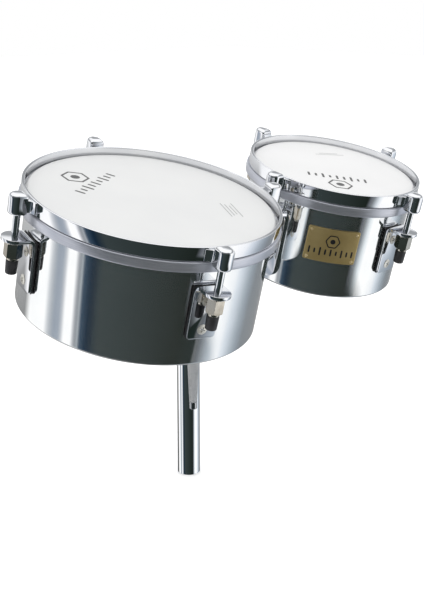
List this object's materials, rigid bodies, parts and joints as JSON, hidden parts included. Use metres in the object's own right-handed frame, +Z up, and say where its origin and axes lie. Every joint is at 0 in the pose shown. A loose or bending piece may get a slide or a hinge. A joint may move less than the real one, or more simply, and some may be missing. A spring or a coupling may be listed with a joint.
{
  "type": "mini timbales pair",
  "caption": "Pair of chrome shell drums, one larger than the other, with tunable heads on hoops and lugs, hung on a tilting crossbar from a rod clamped to a stand post.",
  "frame": {"origin": "centre of the flat lower end of the stand post", "axes": "+Z up along the post, +X from the large drum to the small drum, -Y towards the player"},
  "size_m": [0.4517, 0.2469, 0.3383],
  "materials": {
    "chrome": "mirror-polished chrome plate",
    "drumhead": "coated polyester film, fine matt texture",
    "brushed_aluminium": "satin, brushed around its circumference",
    "nickel": "bright nickel with a faint warm tint",
    "brass": "satin gold-coloured plate",
    "knurled_steel": "diamond-knurled, satin",
    "black_rubber": "semi-matt black"
  },
  "bodies": {
    "post": {"post_tube": "chrome", "post_end_plug": "black_rubber", "post_top_cap": "black_rubber"},
    "clamp": {"post_clamp": "chrome"},
    "post_clamp_wing": {"post_clamp_wing_bolt": "chrome"},
    "rod_clamp_wing": {"rod_clamp_wing_bolt": "chrome"},
    "rod": {"mount_rod": "knurled_steel"},
    "yoke": {"tilt_yoke": "chrome", "tilt_nut": "nickel"},
    "tilt_wing": {"tilt_wing_bolt": "chrome"},
    "saddle": {"tilt_saddle": "chrome", "crossbar": "chrome"},
    "large_drum": {"large_shell": "chrome", "large_head": "drumhead", "large_lug_bracket_right": "chrome", "large_lug_bracket_back": "chrome", "large_lug_bracket_left": "chrome", "large_lug_bracket_front": "chrome", "large_mount_plate": "chrome"},
    "large_mount_wing": {"large_mount_wing_bolt": "chrome"},
    "large_hoop": {"large_flesh_hoop": "brushed_aluminium", "large_counterhoop": "chrome", "large_tension_rod_right": "chrome", "large_tension_rod_back": "chrome", "large_tension_rod_left": "chrome", "large_tension_rod_front": "chrome"},
    "large_nut_right": {"large_tuning_nut_right": "nickel", "large_rod_cap_right": "black_rubber"},
    "large_nut_back": {"large_tuning_nut_back": "nickel", "large_rod_cap_back": "black_rubber"},
    "large_nut_left": {"large_tuning_nut_left": "nickel", "large_rod_cap_left": "black_rubber"},
    "large_nut_front": {"large_tuning_nut_front": "nickel", "large_rod_cap_front": "black_rubber"},
    "small_drum": {"small_shell": "chrome", "small_head": "drumhead", "small_lug_bracket_right": "chrome", "small_lug_bracket_back": "chrome", "small_lug_bracket_front": "chrome", "small_mount_bracket": "chrome", "badge_plate": "brass"},
    "small_mount_wing": {"small_mount_wing_bolt": "chrome"},
    "small_hoop": {"small_flesh_hoop": "brushed_aluminium", "small_counterhoop": "chrome", "small_tension_rod_right": "chrome", "small_tension_rod_back": "chrome", "small_tension_rod_left": "chrome", "small_tension_rod_front": "chrome"},
    "small_nut_right": {"small_tuning_nut_right": "nickel", "small_rod_cap_right": "black_rubber"},
    "small_nut_back": {"small_tuning_nut_back": "nickel", "small_rod_cap_back": "black_rubber"},
    "small_nut_left": {"small_tuning_nut_left": "nickel", "small_rod_cap_left": "black_rubber"},
    "small_nut_front": {"small_tuning_nut_front": "nickel", "small_rod_cap_front": "black_rubber"}
  },
  "joints": [
    {"name": "post_swivel", "type": "hinge", "parent": "post", "child": "clamp", "pos_m": [0, 0, 0], "axis": [0, 0, 1], "continuous": true},
    {"name": "post_clamp_wing_turn", "type": "hinge", "parent": "clamp", "child": "post_clamp_wing", "pos_m": [0.01954, 0.01823, 0.146], "axis": [0.8698, -0.4934, 0], "range_deg": [0, 450]},
    {"name": "rod_clamp_wing_turn", "type": "hinge", "parent": "clamp", "child": "rod_clamp_wing", "pos_m": [-0.01493, -0.02632, 0.146], "axis": [-0.4934, -0.8698, 0], "range_deg": [0, 450]},
    {"name": "rod_height", "type": "slide", "parent": "clamp", "child": "rod", "axis": [0, 0, 1], "range_m": [-0.018, 0.02]},
    {"name": "yoke_turn", "type": "hinge", "parent": "rod", "child": "yoke", "pos_m": [-0.0097, -0.0171, 0.2007], "axis": [0, 0, 1], "range_deg": [-60, 60]},
    {"name": "tilt_wing_turn", "type": "hinge", "parent": "yoke", "child": "tilt_wing", "pos_m": [0.01, -0.0171, 0.2307], "axis": [1, 0, 0], "range_deg": [0, 450]},
    {"name": "pair_tilt", "type": "hinge", "parent": "yoke", "child": "saddle", "pos_m": [0.01, -0.0171, 0.2307], "axis": [1, 0, 0], "range_deg": [-24, 24]},
    {"name": "large_drum_swivel", "type": "hinge", "parent": "saddle", "child": "large_drum", "pos_m": [-0.0045, -0.05474, 0.23059], "axis": [1, 0, 0], "range_deg": [-15, 15]},
    {"name": "large_mount_wing_turn", "type": "hinge", "parent": "large_drum", "child": "large_mount_wing", "pos_m": [-0.003, -0.05209, 0.22012], "axis": [0, 0.2453, -0.9694], "range_deg": [0, 450]},
    {"name": "large_nut_turn_right", "type": "hinge", "parent": "large_drum", "child": "large_nut_right", "pos_m": [-0.00361, -0.10099, 0.25396], "axis": [0, -0.2453, 0.9694], "range_deg": [-545, 545]},
    {"name": "large_nut_turn_back", "type": "hinge", "parent": "large_drum", "child": "large_nut_back", "pos_m": [-0.0894, 0.03473, 0.2883], "axis": [0, -0.2453, 0.9694], "range_deg": [-545, 545]},
    {"name": "large_nut_turn_left", "type": "hinge", "parent": "large_drum", "child": "large_nut_left", "pos_m": [-0.22939, -0.04844, 0.26725], "axis": [0, -0.2453, 0.9694], "range_deg": [-545, 545]},
    {"name": "large_nut_turn_front", "type": "hinge", "parent": "large_drum", "child": "large_nut_front", "pos_m": [-0.1436, -0.18416, 0.23291], "axis": [0, -0.2453, 0.9694], "range_deg": [-545, 545]},
    {"name": "large_hoop_tune", "type": "slide", "parent": "large_drum", "child": "large_hoop", "axis": [0, -0.2453, 0.9694], "range_m": [-0.0015, 0.0015]},
    {"name": "small_drum_swivel", "type": "hinge", "parent": "saddle", "child": "small_drum", "pos_m": [0.0245, -0.05474, 0.23059], "axis": [1, 0, 0], "range_deg": [-15, 15]},
    {"name": "small_mount_wing_turn", "type": "hinge", "parent": "small_drum", "child": "small_mount_wing", "pos_m": [0.023, -0.05209, 0.22012], "axis": [0, 0.2453, -0.9694], "range_deg": [0, 450]},
    {"name": "small_nut_turn_right", "type": "hinge", "parent": "small_drum", "child": "small_nut_right", "pos_m": [0.20096, -0.06828, 0.26223], "axis": [0, -0.2453, 0.9694], "range_deg": [-545, 545]},
    {"name": "small_nut_turn_back", "type": "hinge", "parent": "small_drum", "child": "small_nut_back", "pos_m": [0.10386, 0.01298, 0.2828], "axis": [0, -0.2453, 0.9694], "range_deg": [-545, 545]},
    {"name": "small_nut_turn_left", "type": "hinge", "parent": "small_drum", "child": "small_nut_left", "pos_m": [0.02004, -0.08116, 0.25898], "axis": [0, -0.2453, 0.9694], "range_deg": [-545, 545]},
    {"name": "small_nut_turn_front", "type": "hinge", "parent": "small_drum", "child": "small_nut_front", "pos_m": [0.11714, -0.16241, 0.23842], "axis": [0, -0.2453, 0.9694], "range_deg": [-545, 545]},
    {"name": "small_hoop_tune", "type": "slide", "parent": "small_drum", "child": "small_hoop", "axis": [0, -0.2453, 0.9694], "range_m": [-0.0015, 0.0015]}
  ],
  "couplings": [
    {"joint": "large_nut_turn_right", "follows": "large_hoop_tune", "rad_per_m": -6283.2},
    {"joint": "large_nut_turn_back", "follows": "large_hoop_tune", "rad_per_m": -6283.2},
    {"joint": "large_nut_turn_left", "follows": "large_hoop_tune", "rad_per_m": -6283.2},
    {"joint": "large_nut_turn_front", "follows": "large_hoop_tune", "rad_per_m": -6283.2},
    {"joint": "small_nut_turn_right", "follows": "small_hoop_tune", "rad_per_m": -6283.2},
    {"joint": "small_nut_turn_back", "follows": "small_hoop_tune", "rad_per_m": -6283.2},
    {"joint": "small_nut_turn_left", "follows": "small_hoop_tune", "rad_per_m": -6283.2},
    {"joint": "small_nut_turn_front", "follows": "small_hoop_tune", "rad_per_m": -6283.2}
  ]
}
